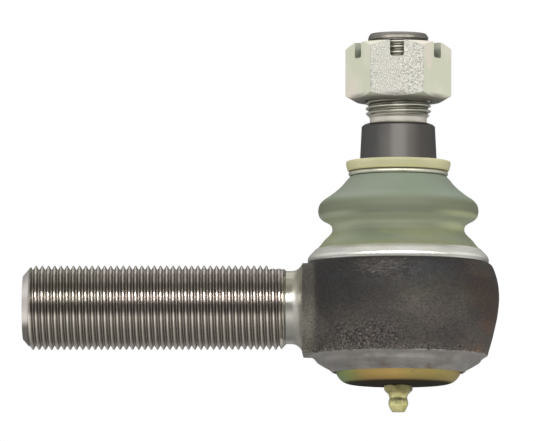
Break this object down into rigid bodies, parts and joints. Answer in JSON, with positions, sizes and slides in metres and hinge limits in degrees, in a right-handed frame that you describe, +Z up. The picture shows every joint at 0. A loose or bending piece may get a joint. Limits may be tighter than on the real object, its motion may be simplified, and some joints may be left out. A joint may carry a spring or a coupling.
{
  "type": "tie rod end",
  "caption": "Steering tie rod end: forged socket with a threaded shank, a tapered ball stud under a dust boot, a slotted nut, an end plug and a grease fitting.",
  "frame": {"origin": "centre of the ball, on the axis of the threaded shank", "axes": "+Z up the ball stud towards its threaded end; the threaded shank points along -X; +Y completes a right-handed frame"},
  "size_m": [0.1618, 0.0686, 0.1292],
  "materials": {
    "forged_steel": "forged skin with a machined shank and lip",
    "seat_polymer": "moulded acetal",
    "plain_steel": "stamped",
    "spring_steel": "oiled spring steel",
    "seal_rubber": "moulded",
    "yellow_zinc": "yellow zinc plate",
    "bearing_steel": "polished",
    "boot_polyurethane": "satin moulded polyurethane",
    "ring_wire": "bright plated wire",
    "bright_zinc": "bright zinc plate, satin",
    "phosphate_steel": "dark phosphate",
    "nut_zinc": "zinc plate over a forged blank"
  },
  "bodies": {
    "housing": {"socket_housing": "forged_steel", "upper_ball_seat": "seat_polymer", "lower_ball_seat": "seat_polymer", "pressure_plate": "plain_steel", "disc_spring": "spring_steel", "plug_seal_ring": "seal_rubber", "end_plug": "yellow_zinc", "grease_fitting_body": "yellow_zinc", "grease_check_spring": "spring_steel", "boot_retainer": "bright_zinc"},
    "boot_middle": {"dust_boot": "boot_polyurethane"},
    "boot_top": {"boot_top_ring": "ring_wire"},
    "stud": {"ball_stud": "phosphate_steel", "castle_nut": "nut_zinc"},
    "check_ball": {"grease_check_ball": "bearing_steel"}
  },
  "joints": [
    {"name": "stud_tilt_fore_aft", "type": "hinge", "parent": "housing", "child": "boot_middle", "pos_m": [0, 0, 0], "axis": [0, 1, 0], "range_deg": [-15, 15], "deforming": ["dust_boot"]},
    {"name": "stud_tilt_side", "type": "hinge", "parent": "boot_middle", "child": "boot_top", "pos_m": [0, 0, 0], "axis": [1, 0, 0], "range_deg": [-15, 15], "deforming": ["dust_boot"]},
    {"name": "stud_spin", "type": "hinge", "parent": "boot_top", "child": "stud", "pos_m": [0, 0, 0], "axis": [0, 0, 1], "continuous": true},
    {"name": "check_ball_lift", "type": "slide", "parent": "housing", "child": "check_ball", "axis": [0, 0, 1], "range_m": [0, 0.0008], "stiffness_N_per_m": 200, "springref_m": -0.001, "deforming": ["grease_check_spring"]}
  ]
}
